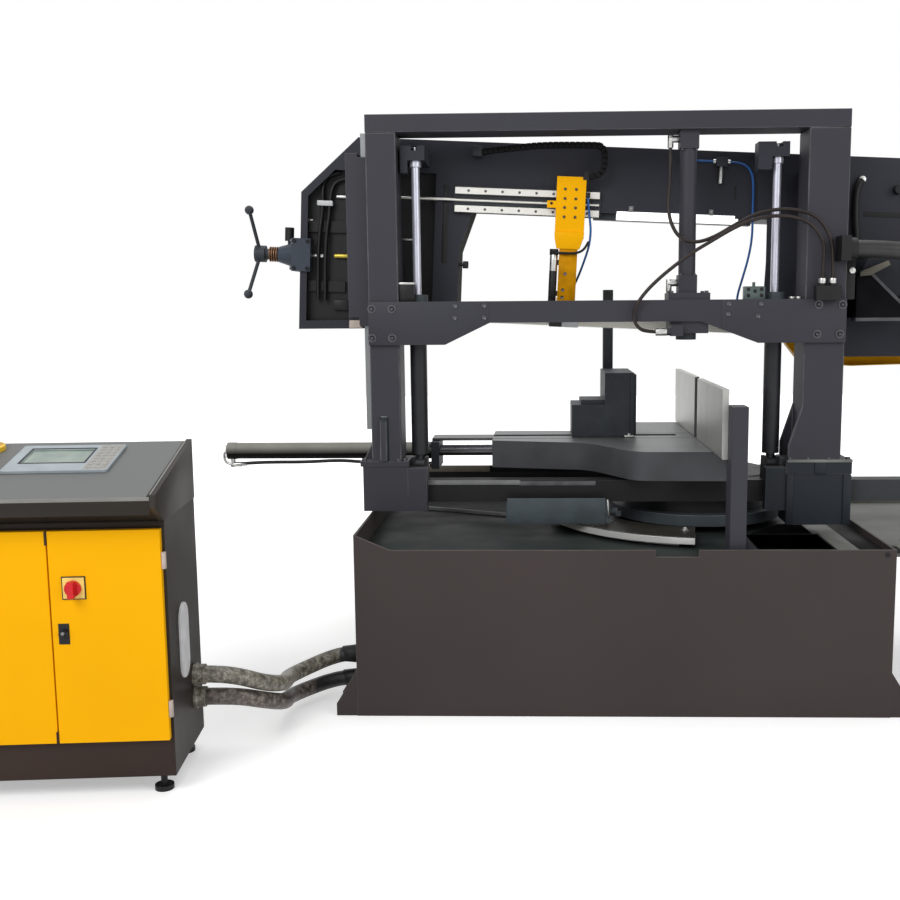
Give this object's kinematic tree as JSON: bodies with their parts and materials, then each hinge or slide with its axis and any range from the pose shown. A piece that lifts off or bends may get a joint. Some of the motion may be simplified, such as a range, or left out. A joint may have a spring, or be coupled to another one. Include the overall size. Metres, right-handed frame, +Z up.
{
  "type": "double column band saw",
  "caption": "Double column metal band saw with a canted bow head on a swivelling portal, hydraulic vise on a chip tank, and a separate control cabinet.",
  "frame": {"origin": "on the floor under the mitre axis, where the blade plane crosses the fixed jaw face", "axes": "+X along the blade towards the drive end, +Y away from the operator, +Z up"},
  "size_m": [3.1651, 1.993, 1.947],
  "materials": {
    "anthracite": "satin powder coat",
    "base_paint": "satin powder coat",
    "black_hose": "matt",
    "black_plastic": "satin",
    "blue_tube": "gloss",
    "chrome": "polished",
    "dark_iron": "painted casting",
    "desk_grey": "textured powder coat",
    "ground_steel": "ground",
    "light": "frosted",
    "motor_grey": "painted casting",
    "mottled_conduit": "mottled sleeve",
    "panel": "satin",
    "red": "gloss",
    "tray_sheet": "matt sheet",
    "yellow": "satin powder coat",
    "zinc": "zinc plated"
  },
  "bodies": {
    "base": {"base_tank": "base_paint", "chip_tray": "tray_sheet", "pedestal": "dark_iron", "angle_scale": "ground_steel", "vise_table": "dark_iron", "fixed_jaws": "ground_steel", "jaw_supports": "dark_iron", "vise_guides": "zinc", "vise_cylinder": "anthracite", "vise_hose": "black_hose", "cabinet_shell": "anthracite", "control_desk": "desk_grey", "touch_panel": "panel", "estop_collar": "yellow", "cabinet_feet": "zinc", "control_plate": "zinc", "hydraulic_unit": "motor_grey", "conduit_glands": "black_plastic", "floor_conduits": "mottled_conduit"},
    "swivel": {"swivel_beam": "anthracite", "left_foot": "anthracite", "right_foot": "anthracite", "left_column": "anthracite", "right_column": "anthracite", "top_beam": "anthracite", "cross_beam": "anthracite", "column_rails": "ground_steel", "lift_cylinders": "anthracite", "press_cylinder": "anthracite", "swivel_clamp": "dark_iron", "hose_manifold": "black_plastic", "column_hoses": "black_hose"},
    "head": {"bow_frame": "anthracite", "head_carriages": "dark_iron", "tension_housing": "motor_grey", "lift_rods": "chrome", "saw_blade": "ground_steel", "arm_rails": "ground_steel", "fixed_guide": "dark_iron", "light_bar": "light", "gear_motor": "motor_grey", "head_hoses": "black_hose", "arm_hose": "black_hose"},
    "guide_arm": {"guide_arm": "yellow", "arm_tube": "blue_tube"},
    "tension_handle": {"tension_handle": "zinc"},
    "tension_slide": {"tension_slide": "dark_iron"},
    "idler_wheel": {"idler_wheel": "dark_iron"},
    "drive_wheel": {"drive_wheel": "dark_iron"},
    "wheel_cover_left": {"wheel_cover_left": "yellow"},
    "wheel_cover_right": {"wheel_cover_right": "yellow"},
    "moving_jaw": {"moving_jaw": "dark_iron", "vise_rod": "chrome"},
    "press_foot": {"press_foot": "chrome"},
    "door_right": {"door_right": "yellow"},
    "door_left": {"door_left": "yellow"},
    "main_switch": {"main_switch": "red"},
    "door_lock": {"door_lock": "black_plastic"},
    "estop_button": {"estop_button": "red"}
  },
  "joints": [
    {"name": "swivel_turn", "type": "hinge", "parent": "base", "child": "swivel", "pos_m": [0, 0, 0.65], "axis": [0, 0, 1], "range_deg": [0, 45]},
    {"name": "head_lift", "type": "slide", "parent": "swivel", "child": "head", "axis": [0, 0, 1], "range_m": [-0.38, 0]},
    {"name": "arm_slide", "type": "slide", "parent": "head", "child": "guide_arm", "axis": [0.9988, 0, -0.0489], "range_m": [-0.33, 0.03], "deforming": ["arm_hose"]},
    {"name": "handle_turn", "type": "hinge", "parent": "head", "child": "tension_handle", "pos_m": [-1.59046, -0.04, 1.51202], "axis": [0.9988, 0, -0.0489], "range_deg": [0, 1440]},
    {"name": "tension_travel", "type": "slide", "parent": "head", "child": "tension_slide", "axis": [0.9988, 0, -0.0489], "range_m": [-0.0005, 0.0205]},
    {"name": "drive_spin", "type": "hinge", "parent": "head", "child": "drive_wheel", "pos_m": [0.60935, 0, 1.41359], "axis": [0, 1, 0], "continuous": true},
    {"name": "idler_spin", "type": "hinge", "parent": "tension_slide", "child": "idler_wheel", "pos_m": [-1.17351, 0, 1.50079], "axis": [0, 1, 0], "continuous": true},
    {"name": "cover_left", "type": "hinge", "parent": "head", "child": "wheel_cover_left", "pos_m": [-1.44547, 0.1185, 1.48791], "axis": [0.0489, 0, 0.9988], "range_deg": [0, 100]},
    {"name": "cover_right", "type": "hinge", "parent": "head", "child": "wheel_cover_right", "pos_m": [0.89374, 0.1185, 1.3735], "axis": [-0.0489, 0, -0.9988], "range_deg": [0, 100]},
    {"name": "jaw_slide", "type": "slide", "parent": "base", "child": "moving_jaw", "axis": [1, 0, 0], "range_m": [-0.29, 0.2]},
    {"name": "press_stroke", "type": "slide", "parent": "swivel", "child": "press_foot", "axis": [0, 0, 1], "range_m": [-0.15, 0]},
    {"name": "door_right_turn", "type": "hinge", "parent": "base", "child": "door_right", "pos_m": [-1.57811, -1.25131, 0.45], "axis": [0, 0, 1], "range_deg": [0, 110]},
    {"name": "door_left_turn", "type": "hinge", "parent": "base", "child": "door_left", "pos_m": [-2.16786, -1.30291, 0.45], "axis": [0, 0, -1], "range_deg": [0, 110]},
    {"name": "switch_turn", "type": "hinge", "parent": "door_right", "child": "main_switch", "pos_m": [-1.80836, -1.28149, 0.59], "axis": [0.0872, -0.9962, 0], "range_deg": [0, 90]},
    {"name": "lock_turn", "type": "hinge", "parent": "door_right", "child": "door_lock", "pos_m": [-1.84024, -1.28428, 0.466], "axis": [0.0872, -0.9962, 0], "range_deg": [0, 90]},
    {"name": "stop_press", "type": "slide", "parent": "base", "child": "estop_button", "axis": [0.0186, -0.213, 0.9769], "range_m": [-0.006, 0], "stiffness_N_per_m": 900, "springref_m": 0.004}
  ],
  "couplings": [
    {"joint": "tension_travel", "follows": "handle_turn", "m_per_rad": 0.00079577},
    {"joint": "idler_spin", "follows": "drive_spin", "ratio": 1}
  ]
}
